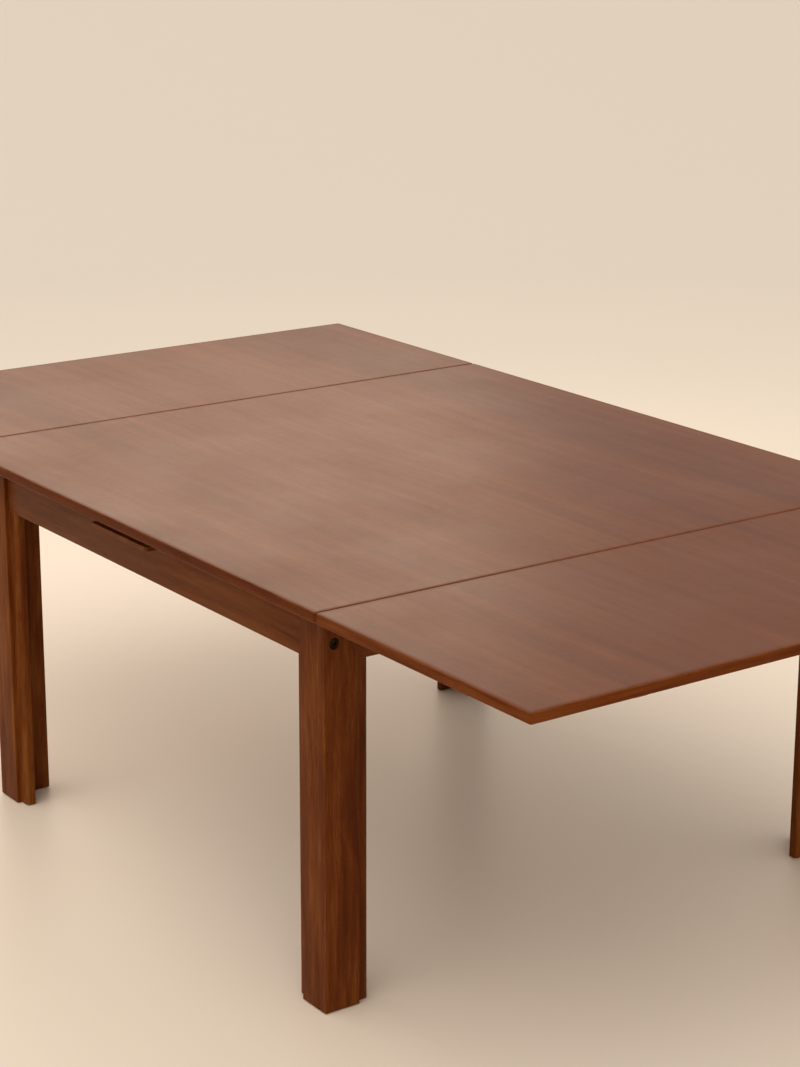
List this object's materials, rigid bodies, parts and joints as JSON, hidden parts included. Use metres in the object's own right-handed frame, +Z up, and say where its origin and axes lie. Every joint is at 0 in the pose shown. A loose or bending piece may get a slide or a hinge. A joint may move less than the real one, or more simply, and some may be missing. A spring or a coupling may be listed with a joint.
{
  "type": "extendable dining table",
  "caption": "Square draw-leaf dining table on angle-section legs, shown extended, with a loose centre top over a fixed board and sliding leaves on sloping bearers.",
  "frame": {"origin": "on the floor, under the middle of the table with both leaves drawn out", "axes": "+X along the extension, towards the near leaf; +Y across the table, towards the back; +Z up"},
  "size_m": [2.4, 1.3, 0.74],
  "materials": {
    "veneer": "satin varnished reddish brown veneer, grain along the extension",
    "solid_wood": "satin varnished solid hardwood",
    "inner_wood": "plain unpolished hardwood, waxed where it slides",
    "dark_steel": "dark oxide",
    "steel": "zinc plated",
    "glide": "matt"
  },
  "bodies": {
    "frame": {"apron_dowels": "inner_wood", "barrel_nuts": "steel", "bolt_washers": "dark_steel", "centre_board": "solid_wood", "centre_board_screws": "steel", "cross_rail_far": "inner_wood", "cross_rail_near": "inner_wood", "end_apron_far": "solid_wood", "end_apron_near": "solid_wood", "foot_glides": "glide", "leg_bolts": "dark_steel", "leg_far_back_end_board": "solid_wood", "leg_far_back_side_board": "solid_wood", "leg_far_front_end_board": "solid_wood", "leg_far_front_side_board": "solid_wood", "leg_near_back_end_board": "solid_wood", "leg_near_back_side_board": "solid_wood", "leg_near_front_end_board": "solid_wood", "leg_near_front_side_board": "solid_wood", "long_apron_back": "solid_wood", "long_apron_front": "solid_wood", "rail_dowels": "inner_wood"},
    "centre_top": {"centre_top_lipping_back": "solid_wood", "centre_top_lipping_far": "solid_wood", "centre_top_lipping_front": "solid_wood", "centre_top_lipping_near": "solid_wood", "centre_top_panel": "veneer", "guide_peg_back": "inner_wood", "guide_peg_front": "inner_wood"},
    "near_leaf": {"near_bearer_back": "inner_wood", "near_bearer_front": "inner_wood", "near_bearer_screws": "steel", "near_leaf_lipping_back": "solid_wood", "near_leaf_lipping_far": "solid_wood", "near_leaf_lipping_front": "solid_wood", "near_leaf_lipping_near": "solid_wood", "near_leaf_panel": "veneer", "near_stop_peg_back": "inner_wood", "near_stop_peg_front": "inner_wood"},
    "far_leaf": {"far_bearer_back": "inner_wood", "far_bearer_front": "inner_wood", "far_bearer_screws": "steel", "far_leaf_lipping_back": "solid_wood", "far_leaf_lipping_far": "solid_wood", "far_leaf_lipping_front": "solid_wood", "far_leaf_lipping_near": "solid_wood", "far_leaf_panel": "veneer", "far_stop_peg_back": "inner_wood", "far_stop_peg_front": "inner_wood"}
  },
  "joints": [
    {"name": "centre_top_lift", "type": "slide", "parent": "frame", "child": "centre_top", "axis": [0, 0, 1], "range_m": [0, 0.04]},
    {"name": "near_leaf_slide", "type": "slide", "parent": "frame", "child": "near_leaf", "axis": [0.9993, 0, 0.0363], "range_m": [-0.0015, 0.018]},
    {"name": "far_leaf_slide", "type": "slide", "parent": "frame", "child": "far_leaf", "axis": [-0.9993, 0, 0.0363], "range_m": [-0.0015, 0.018]}
  ]
}
